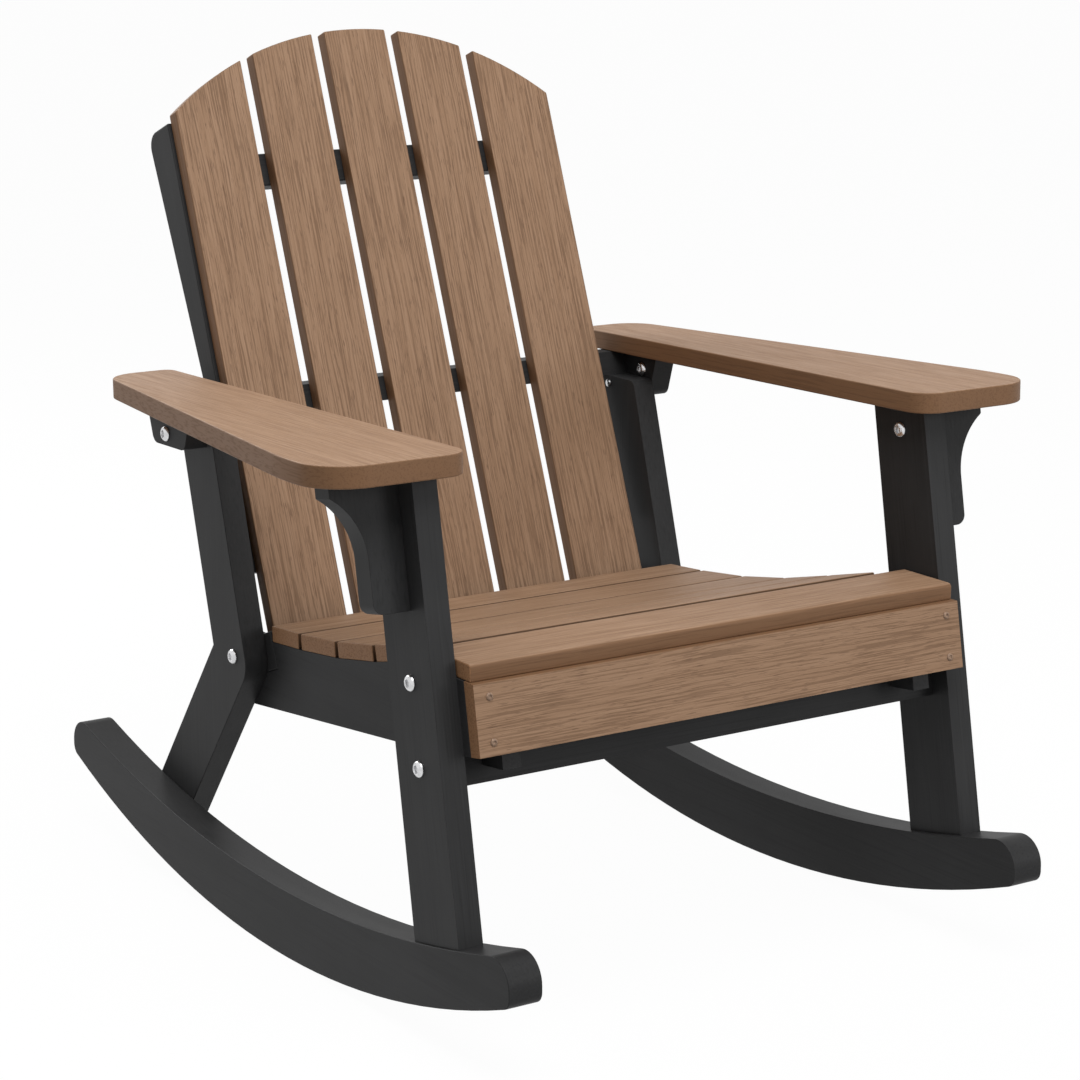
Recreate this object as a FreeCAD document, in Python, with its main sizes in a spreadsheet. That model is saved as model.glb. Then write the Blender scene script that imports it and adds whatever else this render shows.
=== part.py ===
import FreeCAD, Part
import math
import os
import Sketcher

# Rocking armchair with slatted seat and back, bolted together from flat boards.
# X runs across the chair, the front faces -Y, Z is up, and the floor is Z = 0.
# The origin is midway between the two rocker tips and between the two sides.

os.makedirs("parts", exist_ok=True)
doc = FreeCAD.newDocument("rocking_chair")

# Driving dimensions, in millimetres and degrees
DIMENSIONS = [
    ("rocker_radius", 1188.0),
    ("rocker_contact_y", -8.0),
    ("rocker_depth", 67.0),
    ("rocker_top_radius", 1570.0),
    ("rocker_top_y", -8.0),
    ("rocker_front_y", -436.0),
    ("rocker_rear_y", 436.0),
    ("rocker_thickness", 34.0),
    ("rocker_tip_round", 25.0),
    ("rocker_toe_round", 12.0),
    ("frame_thickness", 25.0),
    ("leg_width", 73.0),
    ("leg_reveal", 6.5),
    ("front_foot_y", -351.5),
    ("front_leg_lean", 10.2),
    ("rear_upper_lean", 16.0),
    ("rear_lower_lean", 37.5),
    ("rear_leg_width", 65.0),
    ("rear_bend_y", 94.0),
    ("rear_bend_rise", 47.0),
    ("rear_bend_round", 30.0),
    ("rear_foot_cover", 14.0),
    ("rear_top_round", 8.0),
    ("rail_thickness", 19.0),
    ("rail_front_depth", 80.0),
    ("rail_rear_depth", 77.0),
    ("rail_tail_height", 73.0),
    ("rail_rear_y", 167.0),
    ("stretcher_height", 101.0),
    ("seat_front_height", 352.0),
    ("seat_slat_thickness", 16.0),
    ("seat_slat_pitch", 73.0),
    ("seat_slat_gap", 6.0),
    ("seat_rear_slat_width", 57.0),
    ("seat_tilt_1", 4.5),
    ("seat_tilt_2", 6.5),
    ("seat_tilt_3", 10.0),
    ("seat_tilt_4", 13.5),
    ("seat_tilt_5", 14.0),
    ("front_slat_width", 70.0),
    ("front_slat_inset", 2.0),
    ("front_slat_round", 4.0),
    ("apron_half", 272.0),
    ("apron_end_gap", 0.5),
    ("apron_thickness", 15.0),
    ("apron_height", 64.0),
    ("apron_reach", 26.0),
    ("fit_clearance", 0.4),
    ("back_rake", 20.7),
    ("back_base_y", 117.0),
    ("back_base_rise", 8.0),
    ("back_slat_thickness", 16.0),
    ("back_slat_width", 73.0),
    ("back_side_gap", 17.5),
    ("back_slat_gap", 15.0),
    ("back_slat_drop", 56.0),
    ("back_height", 606.5),
    ("back_arch_radius", 355.0),
    ("seat_bar_height", 38.0),
    ("seat_bar_rise", 10.0),
    ("batten_height", 34.0),
    ("batten_thickness", 19.0),
    ("batten_level", 449.0),
    ("stile_side_gap", 14.0),
    ("stile_thickness", 25.0),
    ("stile_depth", 49.0),
    ("stile_foot_depth", 13.0),
    ("stile_foot", 56.0),
    ("stile_head", 520.0),
    ("stile_head_round", 16.0),
    ("arm_height", 532.5),
    ("arm_thickness", 20.0),
    ("arm_tilt", 1.1),
    ("arm_inner_reach", 22.5),
    ("arm_front_y", -305.0),
    ("arm_rear_overhang", 25.0),
    ("arm_front_width", 147.0),
    ("arm_taper", 8.3),
    ("arm_straight", 50.0),
    ("arm_side_radius", 350.0),
    ("arm_front_outer_round", 46.0),
    ("arm_front_inner_round", 26.0),
    ("arm_rear_outer_round", 38.0),
    ("arm_rear_inner_round", 12.0),
    ("corbel_reach", 68.0),
    ("corbel_nose", 16.0),
    ("corbel_height", 121.0),
    ("corbel_foot", 36.0),
    ("corbel_hollow", 58.0),
    ("corbel_round", 10.0),
    ("bracket_front_reach", 7.0),
    ("bracket_rear_reach", 29.0),
    ("bracket_depth", 45.0),
    ("bracket_front_slope", 14.0),
    ("bracket_rear_slope", 16.0),
    ("bracket_round", 11.0),
    ("bolt_head_radius", 7.8),
    ("bolt_head_height", 4.0),
    ("bolt_shank_radius", 4.0),
    ("bolt_bore_radius", 4.2),
    ("screw_head_radius", 3.6),
    ("screw_head_height", 1.6),
    ("screw_shank_radius", 2.0),
    ("screw_bore_radius", 2.2),
    ("bolt_bite", 38.0),
    ("rocker_bolt_bite", 48.0),
    ("bore_end_gap", 2.0),
    ("screw_bite", 22.0),
    ("leg_bolt_edge", 18.0),
    ("leg_bolt_spacing", 76.0),
    ("corbel_bolt_drop", 24.0),
    ("rear_bolt_y", 122.0),
    ("rear_bolt_rise", 58.0),
    ("rear_bolt_setback", 5.0),
    ("rocker_bolt_spacing", 20.0),
    ("rocker_bolt_edge", 14.0),
    ("back_rail_height", 24.0),
    ("back_rail_thickness", 19.0),
    ("bracket_screw_drop", 8.5),
    ("bracket_screw_inset", 46.5),
    ("apron_screw_edge", 12.0),
]

sheet = doc.addObject("Spreadsheet::Sheet", "dims")
rows = 0


def cell(alias, content):
    """Writes one sheet row and gives its value cell the alias."""
    global rows
    rows += 1
    sheet.set("A%d" % rows, alias)
    sheet.set("B%d" % rows, content)
    sheet.setAlias("B%d" % rows, alias)


for alias, number in DIMENSIONS:
    cell(alias, str(number))
doc.recompute()


class Size:
    """A length or angle with its number and the expression that binds it to the sheet."""

    def __init__(self, text, value):
        self.text = text
        self.value = float(value)

    def __add__(self, other):
        other = size(other)
        return Size("(%s + %s)" % (self.text, other.text), self.value + other.value)

    def __radd__(self, other):
        return size(other) + self

    def __sub__(self, other):
        other = size(other)
        return Size("(%s - %s)" % (self.text, other.text), self.value - other.value)

    def __rsub__(self, other):
        return size(other) - self

    def __mul__(self, other):
        other = size(other)
        return Size("(%s * %s)" % (self.text, other.text), self.value * other.value)

    def __rmul__(self, other):
        return size(other) * self

    def __truediv__(self, other):
        other = size(other)
        return Size("(%s / %s)" % (self.text, other.text), self.value / other.value)

    def __neg__(self):
        return Size("(0 - %s)" % self.text, -self.value)


def size(value):
    return value if isinstance(value, Size) else Size(repr(float(value)), value)


def dim(alias):
    return Size("dims." + alias, getattr(sheet, alias))


def sine(angle):
    return Size("sin(%s)" % angle.text, math.sin(math.radians(angle.value)))


def cosine(angle):
    return Size("cos(%s)" % angle.text, math.cos(math.radians(angle.value)))


def tangent(angle):
    return Size("tan(%s)" % angle.text, math.tan(math.radians(angle.value)))


def root(value):
    return Size("sqrt(%s)" % value.text, math.sqrt(value.value))


def named(alias, amount):
    """Keeps a worked-out size as its own sheet formula."""
    cell(alias, "=" + amount.text.replace("dims.", ""))
    return Size("dims." + alias, amount.value)


pieces = []


def new_body(label):
    body = doc.addObject("PartDesign::Body", label)
    body.Label = label
    pieces.append(body)
    return body


def origin_plane(body, role):
    for feature in body.Origin.OriginFeatures:
        if feature.Role == role:
            return feature
    raise ValueError(role)


def new_sketch(body, role, name):
    sketch = body.newObject("Sketcher::SketchObject", name)
    sketch.AttachmentSupport = [(origin_plane(body, role), "")]
    sketch.MapMode = "FlatFace"
    return sketch


def bind(sketch, kind, *args):
    """Adds one dimensional constraint and ties it to its expression."""
    *where, amount = args
    index = sketch.addConstraint(Sketcher.Constraint(kind, *where, amount.value))
    sketch.setExpression("Constraints[%d]" % index, amount.text)


def closed_outline(sketch, points, arcs=None):
    """Closed outline through points; arcs maps a side's number to its centre, radius and sense."""
    arcs = arcs or {}
    count = len(points)
    ends = []
    for number in range(count):
        a = points[number]
        b = points[(number + 1) % count]
        start = FreeCAD.Vector(a[0].value, a[1].value, 0)
        stop = FreeCAD.Vector(b[0].value, b[1].value, 0)
        if number in arcs:
            centre_x, centre_y, radius, counter_clockwise = arcs[number]
            centre = FreeCAD.Vector(centre_x.value, centre_y.value, 0)
            angle_a = math.atan2(start.y - centre.y, start.x - centre.x)
            angle_b = math.atan2(stop.y - centre.y, stop.x - centre.x)
            circle = Part.Circle(centre, FreeCAD.Vector(0, 0, 1), radius.value)
            if counter_clockwise:
                index = sketch.addGeometry(Part.ArcOfCircle(circle, angle_a, angle_b))
                ends.append((index, 1, 2))
            else:
                index = sketch.addGeometry(Part.ArcOfCircle(circle, angle_b, angle_a))
                ends.append((index, 2, 1))
        else:
            index = sketch.addGeometry(Part.LineSegment(start, stop))
            ends.append((index, 1, 2))
    for number in range(count):
        this = ends[number]
        following = ends[(number + 1) % count]
        sketch.addConstraint(
            Sketcher.Constraint("Coincident", this[0], this[2], following[0], following[1])
        )
    for number in range(count):
        corner = points[number]
        beside = arcs.get(number) or arcs.get((number - 1) % count)
        along_x = along_y = True
        if beside:
            across = abs(corner[0].value - beside[0].value)
            along_x = across <= abs(corner[1].value - beside[1].value)
            along_y = not along_x
        if along_x:
            bind(sketch, "DistanceX", -1, 1, ends[number][0], ends[number][1], corner[0])
        if along_y:
            bind(sketch, "DistanceY", -1, 1, ends[number][0], ends[number][1], corner[1])
    for number, (centre_x, centre_y, radius, _) in arcs.items():
        index = ends[number][0]
        bind(sketch, "DistanceX", -1, 1, index, 3, centre_x)
        bind(sketch, "DistanceY", -1, 1, index, 3, centre_y)
        bind(sketch, "Radius", index, radius)


def add_bore(sketch, x, y, radius):
    centre = FreeCAD.Vector(x.value, y.value, 0)
    index = sketch.addGeometry(Part.Circle(centre, FreeCAD.Vector(0, 0, 1), radius.value))
    bind(sketch, "DistanceX", -1, 1, index, 3, x)
    bind(sketch, "DistanceY", -1, 1, index, 3, y)
    bind(sketch, "Radius", index, radius)


def pad(body, sketch, length, backwards=False, centred=False):
    feature = body.newObject("PartDesign::Pad", body.Label + "_pad")
    feature.Profile = sketch
    feature.Length = length.value
    feature.setExpression("Length", length.text)
    feature.Reversed = backwards
    feature.Midplane = centred
    doc.recompute()
    return feature


def shift_sketch(sketch, distance):
    """Moves a sketch off its plane along the plane's normal."""
    sketch.AttachmentOffset = FreeCAD.Placement(
        FreeCAD.Vector(0, 0, distance.value), FreeCAD.Rotation()
    )
    sketch.setExpression("AttachmentOffset.Base.z", "%s * 1 mm" % distance.text)


def pocket(body, sketch, depth, backwards=False, centred=False):
    """Cuts the sketch out of the body and makes sure that material went."""
    before = body.Shape.Volume
    feature = body.newObject("PartDesign::Pocket", body.Label + "_cut")
    feature.Profile = sketch
    feature.Length = depth.value
    feature.setExpression("Length", depth.text)
    feature.Reversed = backwards
    feature.Midplane = centred
    doc.recompute()
    if not body.Shape.Volume < before - 1:
        raise ValueError("%s: the cut takes nothing away" % body.Label)
    return feature


def mirror(body, features):
    """Repeats features on the other side of the middle plane."""
    feature = body.newObject("PartDesign::Mirrored", body.Label + "_mirror")
    feature.Originals = features
    feature.MirrorPlane = (origin_plane(body, "YZ_Plane"), [""])
    body.Tip = feature
    doc.recompute()
    return feature


def end_bores(body, spots, start, radius, depth, backwards, both_ends=False):
    """Bores along X from the plane start; spots are the centres in the Y-Z plane."""
    sketch = new_sketch(body, "YZ_Plane", body.Label + "_bores")
    shift_sketch(sketch, start)
    for y, z in spots:
        add_bore(sketch, y, z, radius)
    cut = pocket(body, sketch, depth, backwards)
    if both_ends:
        mirror(body, [cut])


def round_edges(body, base, middles, radius):
    """Fillets the edges whose middles lie at the given points of the body's own frame."""
    names = []
    for x, y, z in middles:
        target = FreeCAD.Vector(x.value, y.value, z.value)
        ranked = []
        for number, edge in enumerate(base.Shape.Edges, start=1):
            if edge.Curve.TypeId != "Part::GeomLine":
                continue
            middle = edge.valueAt((edge.FirstParameter + edge.LastParameter) / 2)
            ranked.append((middle.distanceToPoint(target), "Edge%d" % number))
        ranked.sort()
        if ranked[0][0] > 0.5:
            raise ValueError("%s: no edge at %s" % (body.Label, target))
        names.append(ranked[0][1])
    fillet = body.newObject("PartDesign::Fillet", body.Label + "_round")
    fillet.Base = (base, names)
    fillet.Radius = radius.value
    fillet.setExpression("Radius", radius.text)
    doc.recompute()
    return fillet


def place(body, x, y, z, lean=None, forwards=False):
    """Puts a body at x, y, z, leaned backwards or forwards about X when lean is given."""
    if lean is not None:
        axis = FreeCAD.Vector(1 if forwards else -1, 0, 0)
        body.Placement = FreeCAD.Placement(
            FreeCAD.Vector(0, 0, 0), FreeCAD.Rotation(axis, lean.value)
        )
        body.setExpression("Placement.Rotation.Angle", "%s * 1 deg" % lean.text)
    for axis, amount in (("x", x), ("y", y), ("z", z)):
        amount = size(amount)
        body.setExpression("Placement.Base.%s" % axis, "%s * 1 mm" % amount.text)
    doc.recompute()


def side_board(label, side, inner, thickness, points, arcs=None, bores=(), rounds=()):
    """Upright board in a Y-Z plane whose inner face stands inner away from the middle."""
    body = new_body(label)
    sketch = new_sketch(body, "YZ_Plane", label + "_outline")
    closed_outline(sketch, points, arcs)
    for y, z, radius in bores:
        add_bore(sketch, y, z, radius)
    feature = pad(body, sketch, thickness)
    for radius, corners in rounds:
        middles = [(thickness / 2, y, z) for y, z in corners]
        feature = round_edges(body, feature, middles, radius)
    place(body, inner if side > 0 else -(inner + thickness), 0, 0)
    return body


def arc_height(centre_z, radius, centre_y, y, lower=True):
    """Height of a circle over y, on its lower or its upper half."""
    reach = root(radius * radius - (y - centre_y) * (y - centre_y))
    return centre_z - reach if lower else centre_z + reach


def cross_board(label, length, points, rounds=()):
    """Board running across the chair, drawn by its section in the Y-Z plane."""
    body = new_body(label)
    sketch = new_sketch(body, "YZ_Plane", label + "_section")
    closed_outline(sketch, points)
    feature = pad(body, sketch, length, centred=True)
    for radius, corners in rounds:
        feature = round_edges(body, feature, [(size(0), y, z) for y, z in corners], radius)
    return body


SIDES = (("left", -1), ("right", 1))
frame_thickness = dim("frame_thickness")
clearance = dim("fit_clearance")
bore = dim("bolt_bore_radius")
screw_bore = dim("screw_bore_radius")
bite = dim("bolt_bite")
bore_gap = dim("bore_end_gap")

# Rocker curves
radius = dim("rocker_radius")
contact_y = dim("rocker_contact_y")
top_radius = dim("rocker_top_radius")
top_y = dim("rocker_top_y")
top_z = named("rocker_top_z", dim("rocker_depth") + top_radius)
front_y = dim("rocker_front_y")
rear_y = dim("rocker_rear_y")


def rocker_top(y):
    return top_z - root(top_radius * top_radius - (y - top_y) * (y - top_y))


def rocker_bottom(y):
    return radius - root(radius * radius - (y - contact_y) * (y - contact_y))


# Stations across the chair
leg_inner = named("leg_inner_x", dim("apron_half") + dim("apron_end_gap"))
leg_outer = named("leg_outer_x", leg_inner + frame_thickness)
rocker_inner = named("rocker_inner_x", leg_inner - dim("leg_reveal"))
rail_outer = named("rail_outer_x", rocker_inner - frame_thickness)
rail_inner = named("rail_inner_x", rail_outer - dim("rail_thickness"))
stile_outer = named("stile_outer_x", rail_outer - dim("stile_side_gap"))
stile_inner = named("stile_inner_x", stile_outer - dim("stile_thickness"))

# Levels of the seat and of the boards under it
pitch = dim("seat_slat_pitch")
rear_slat = dim("seat_rear_slat_width")
tilts = [dim("seat_tilt_%d" % number) for number in (5, 4, 3, 2, 1)]
steps = [pitch, pitch, pitch, pitch, rear_slat]
seat_under = named("seat_underside", dim("seat_front_height") - dim("seat_slat_thickness"))
drop = size(0)
reach = size(0)
for step, tilt in zip(steps, tilts):
    drop = drop + step * sine(tilt)
    reach = reach + step * cosine(tilt)
seat_rear_z = named("seat_rear_z", seat_under - drop)
base_z = named("back_base_z", seat_rear_z + dim("back_base_rise"))
rail_front_z = named("rail_front_bottom", seat_under - dim("rail_front_depth"))
rail_rear_z = named("rail_rear_bottom", seat_rear_z - dim("rail_rear_depth"))
rail_tail_z = named("rail_rear_top", rail_rear_z + dim("rail_tail_height"))
stretcher_z = named("stretcher_bottom", seat_under - dim("stretcher_height"))
lap_z = named("lap_height", seat_under - dim("stretcher_height") / 2)

# Front legs stand on the rockers and lean back with the stretcher, the apron and the corbels
lean = dim("front_leg_lean")
leg_width = dim("leg_width")
foot_y = dim("front_foot_y")
foot_z = named("front_foot_z", rocker_top(foot_y))

# The arms' underside is one plane that falls to the rear
arm_tilt = dim("arm_tilt")
arm_front = dim("arm_front_y")
arm_fall = named("arm_fall", tangent(arm_tilt))
arm_under = named("arm_underside", dim("arm_height") - dim("arm_thickness") * cosine(arm_tilt))


def under_arm(y):
    """Height of the arms' underside over y."""
    return arm_under - (y - arm_front) * arm_fall


def lean_y(behind, z):
    """Y at height z on a plane parallel to the front legs, behind their front edge."""
    return foot_y + behind / cosine(lean) + (z - foot_z) * tangent(lean)


def lean_point(behind, up):
    """Y and Z of a point by its distance behind the front edge and up along it."""
    return (
        foot_y + behind * cosine(lean) + up * sine(lean),
        foot_z - behind * sine(lean) + up * cosine(lean),
    )


def level_up(behind, top, fall=0):
    """Distance up along the legs to height top, or to a plane that passes it at the arms' front."""
    rise = top - foot_z - (foot_y - arm_front) * fall
    along = cosine(lean) + sine(lean) * fall
    return (rise + behind * (sine(lean) - cosine(lean) * fall)) / along


core = named("frame_setback", (leg_width - frame_thickness) / 2)
core_rear = core + frame_thickness
core_middle = named("frame_middle", leg_width / 2)
foot_rear_y = named("front_foot_rear_y", foot_y + leg_width / cosine(lean))
foot_rear_z = named("front_foot_rear_z", rocker_top(foot_rear_y))
leg_bolt_low = named("leg_bolt_low", level_up(core_middle, stretcher_z) + dim("leg_bolt_edge"))
leg_bolt_ups = [leg_bolt_low, leg_bolt_low + dim("leg_bolt_spacing")]
leg_bolt_points = [lean_point(core_middle, up) for up in leg_bolt_ups]
leg_head_up = named("leg_head_up", level_up(size(0), arm_under, arm_fall))
leg_head_rear_up = named("leg_head_rear_up", level_up(leg_width, arm_under, arm_fall))
corbel_bolt_up = named(
    "corbel_bolt_up", level_up(core_middle, arm_under, arm_fall) - dim("corbel_bolt_drop")
)
corbel_bolt = lean_point(core_middle, corbel_bolt_up)

# The back leans on one plane, the front face of its slats
rake = dim("back_rake")
base_y = dim("back_base_y")


def back_point(along, behind):
    """Y and Z of a point by its distance up the back and behind the slats' front face."""
    return (
        base_y + along * sine(rake) + behind * cosine(rake),
        base_z + along * cosine(rake) - behind * sine(rake),
    )


def back_y(z, behind):
    """Y at height z on a plane parallel to the back, behind the slats' front face."""
    return base_y + (z - base_z) * tangent(rake) + behind / cosine(rake)


def back_under_arm(behind, below=0):
    """Point where a plane of the back meets the arms' underside, or a level below it."""
    start = base_y - base_z * tangent(rake) + behind / cosine(rake)
    z = (arm_under - below - (start - arm_front) * arm_fall) / (1 + tangent(rake) * arm_fall)
    return (back_y(z, behind), z)


slat_depth = dim("back_slat_thickness")
cross_rear = named("back_rail_rear", slat_depth + dim("back_rail_thickness"))
cross_middle = named("back_rail_middle", slat_depth + dim("back_rail_thickness") / 2)
rail_head_z = named("back_rail_head_z", back_under_arm(slat_depth)[1])
leg_top = named("rear_leg_top", rail_head_z - dim("back_rail_height"))
bracket_bolt_z = named("bracket_bolt_z", leg_top + dim("back_rail_height") / 2)
bracket_bolt = (named("bracket_bolt_y", back_y(bracket_bolt_z, cross_middle)), bracket_bolt_z)

# Rear legs are dog-legs outside the rails and inside the rockers, with the back rail on their tops
upper = dim("rear_upper_lean")
lower = dim("rear_lower_lean")
bend_y = dim("rear_bend_y")
bend_z = named("rear_bend_height", rail_rear_z + dim("rear_bend_rise"))
rear_width = dim("rear_leg_width")
upper_run = rear_width / cosine(upper)
lower_run = rear_width / cosine(lower)
crown_y = named("rear_crown_y", bend_y + (leg_top - bend_z) * tangent(upper))
hock_z = named("rear_hock_z", bend_z + (lower_run - upper_run) / (tangent(upper) + tangent(lower)))
hock_y = named("rear_hock_y", bend_y + upper_run + (hock_z - bend_z) * tangent(upper))
shin_y = bend_y + (bend_z - dim("rocker_depth")) * tangent(lower)
toe_z = named("rear_toe_z", rocker_bottom(shin_y) + dim("rear_foot_cover"))
toe_y = named("rear_toe_y", bend_y + (bend_z - toe_z) * tangent(lower))
heel_z = named("rear_heel_z", rocker_bottom(toe_y + lower_run) + dim("rear_foot_cover"))
heel_y = named("rear_heel_y", bend_y + (bend_z - heel_z) * tangent(lower) + lower_run)
rail_bolt = (dim("rear_bolt_y"), named("rear_bolt_z", rail_rear_z + dim("rear_bolt_rise")))
foot_middle_y = named("rear_foot_middle_y", (toe_y + heel_y) / 2)
foot_middle_z = named("rear_foot_middle_z", (toe_z + heel_z) / 2)
rocker_bolt_points = []
for step in (0, 1):
    up = dim("rocker_bolt_edge") + dim("rocker_bolt_spacing") * step
    rocker_bolt_points.append((foot_middle_y - up * sine(lower), foot_middle_z + up * cosine(lower)))
bracket_screw = (
    named("bracket_screw_y", crown_y + dim("bracket_screw_inset")),
    named("bracket_screw_z", leg_top - dim("bracket_screw_drop")),
)

# Seat line: the rail's top is one flat for each slat, stepping down and back from the front slat
bar_front = -frame_thickness
seat_rear_y = named("seat_rear_y", back_y(seat_rear_z, bar_front) - clearance / cosine(rake))
land_y = named("seat_land_y", seat_rear_y - reach)
seat_line = [(land_y, seat_under)]
for number, (step, tilt) in enumerate(zip(steps, tilts), start=1):
    y, z = seat_line[-1]
    seat_line.append(
        (
            named("seat_line_y_%d" % number, y + step * cosine(tilt)),
            named("seat_line_z_%d" % number, z - step * sine(tilt)),
        )
    )
bar_top = named(
    "seat_bar_top", (seat_rear_z + dim("seat_bar_rise") - base_z + bar_front * sine(rake)) / cosine(rake)
)
bar_foot = named("seat_bar_foot", bar_top - dim("seat_bar_height"))

# Apron and the blocks behind its ends
apron_front = named("apron_front", -dim("apron_reach") * cosine(lean))
apron_rear = apron_front + dim("apron_thickness")

# Lower edge of the side rails, a straight line rising to the front
rail_rear_y = dim("rail_rear_y")
rail_rise = named(
    "rail_rise",
    (rail_front_z - rail_rear_z) / (rail_rear_y - foot_y),
)


def rail_bottom(behind):
    """Point of the rail's lower edge on a plane parallel to the front legs."""
    start = foot_y + behind / cosine(lean)
    z = (
        rail_rear_z + rail_rise * (rail_rear_y - start + foot_z * tangent(lean))
    ) / (1 + rail_rise * tangent(lean))
    return (start + (z - foot_z) * tangent(lean), z)


lap_up = named("lap_up", (lap_z - foot_z) / cosine(lean))
rail_points = [
    (lean_y(apron_rear + clearance, seat_under), seat_under),
    *seat_line,
    back_point(bar_foot - clearance, bar_front - clearance),
    back_point(bar_foot - clearance, clearance),
    (back_y(rail_tail_z, clearance), rail_tail_z),
    (rail_rear_y, rail_tail_z),
    (rail_rear_y, rail_rear_z),
    rail_bottom(core_rear + clearance),
    lean_point(core_rear + clearance, lap_up + clearance),
    lean_point(core - clearance, lap_up + clearance),
    rail_bottom(core - clearance),
    rail_bottom(apron_rear + clearance),
]

# Stiles behind the outer back slats, notched over the lower back rail
stile_points = [
    back_point(dim("stile_foot"), slat_depth),
    back_point(dim("stile_foot"), slat_depth + dim("stile_foot_depth")),
    back_point(dim("stile_head"), slat_depth + dim("stile_depth")),
    back_point(dim("stile_head"), slat_depth),
    back_under_arm(slat_depth, -clearance),
    back_under_arm(cross_rear + clearance, -clearance),
    (back_y(leg_top - clearance, cross_rear + clearance), leg_top - clearance),
    (back_y(leg_top - clearance, slat_depth), leg_top - clearance),
]
bracket_front = named("bracket_front_y", crown_y - dim("bracket_front_reach"))
bracket_rear = named("bracket_rear_y", bracket_bolt[0] + dim("bracket_rear_reach"))
bracket_toe = bracket_front + dim("bracket_front_slope")
bracket_heel = bracket_rear - dim("bracket_rear_slope")
bracket_points = [
    (bracket_toe, under_arm(bracket_toe) - dim("bracket_depth")),
    (bracket_heel, under_arm(bracket_heel) - dim("bracket_depth")),
    (bracket_rear, under_arm(bracket_rear)),
    (bracket_front, under_arm(bracket_front)),
]

for name, side in SIDES:
    corners = [
        (front_y, rocker_bottom(front_y)),
        (rear_y, rocker_bottom(rear_y)),
        (rear_y, rocker_top(rear_y)),
        (front_y, rocker_top(front_y)),
    ]
    rocker = side_board(
        "rocker_" + name,
        side,
        rocker_inner,
        dim("rocker_thickness"),
        corners,
        {0: (contact_y, radius, radius, True), 2: (top_y, top_z, top_radius, False)},
        rounds=[
            (dim("rocker_tip_round"), [corners[2], corners[3]]),
            (dim("rocker_toe_round"), [corners[0], corners[1]]),
        ],
    )
    face = size(0) if side > 0 else dim("rocker_thickness")
    depth = dim("rocker_bolt_bite") - frame_thickness + bore_gap
    end_bores(rocker, rocker_bolt_points, face, bore, depth, backwards=side > 0)
    side_board(
        "front_leg_" + name,
        side,
        leg_inner,
        frame_thickness,
        [
            (foot_y, foot_z),
            (foot_rear_y, foot_rear_z),
            lean_point(leg_width, leg_head_rear_up),
            lean_point(size(0), leg_head_up),
        ],
        bores=[(y, z, bore) for y, z in leg_bolt_points + [corbel_bolt]],
    )
    side_board(
        "rear_leg_" + name,
        side,
        rail_outer,
        frame_thickness,
        [
            (toe_y, toe_z),
            (heel_y, heel_z),
            (hock_y, hock_z),
            (crown_y + upper_run, leg_top),
            (crown_y, leg_top),
            (bend_y, bend_z),
        ],
        bores=[(rail_bolt[0], rail_bolt[1], bore)]
        + [(bracket_screw[0], bracket_screw[1], bore)]
        + [(y, z, bore) for y, z in rocker_bolt_points],
        rounds=[
            (dim("rear_bend_round"), [(bend_y, bend_z)]),
            (dim("rear_top_round"), [(crown_y, leg_top)]),
        ],
    )
    side_board(
        "side_rail_" + name,
        side,
        rail_inner,
        dim("rail_thickness"),
        rail_points,
        bores=[(rail_bolt[0], rail_bolt[1], bore)],
    )
    side_board(
        "back_stile_" + name,
        side,
        stile_inner,
        dim("stile_thickness"),
        stile_points,
        rounds=[(dim("stile_head_round"), [stile_points[2]])],
    )
    side_board(
        "rear_arm_bracket_" + name,
        side,
        rocker_inner,
        frame_thickness,
        bracket_points,
        bores=[(*bracket_bolt, bore), (*bracket_screw, bore)],
        rounds=[(dim("bracket_round"), bracket_points[:2])],
    )


def leaning_board(label, outline, arcs, front, thickness, bores, start, slope):
    """Board in a plane parallel to the front legs, its top bevelled up to the rear from start."""
    body = new_body(label)
    sketch = new_sketch(body, "XZ_Plane", label + "_outline")
    closed_outline(sketch, outline, arcs)
    for x, up, radius in bores:
        add_bore(sketch, x, up, radius)
    feature = pad(body, sketch, thickness, backwards=True)
    wedge = new_sketch(body, "YZ_Plane", label + "_bevel")
    closed_outline(
        wedge,
        [
            (-thickness, start - thickness * slope),
            (thickness * 2, start + thickness * slope * 2),
            (thickness * 2, start + thickness * 2),
            (-thickness, start + thickness * 2),
        ],
    )
    pocket(body, wedge, corbel_nose_x * 3, centred=True)
    y, z = lean_point(front, size(0))
    place(body, 0, y, z, lean)
    return body


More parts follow.
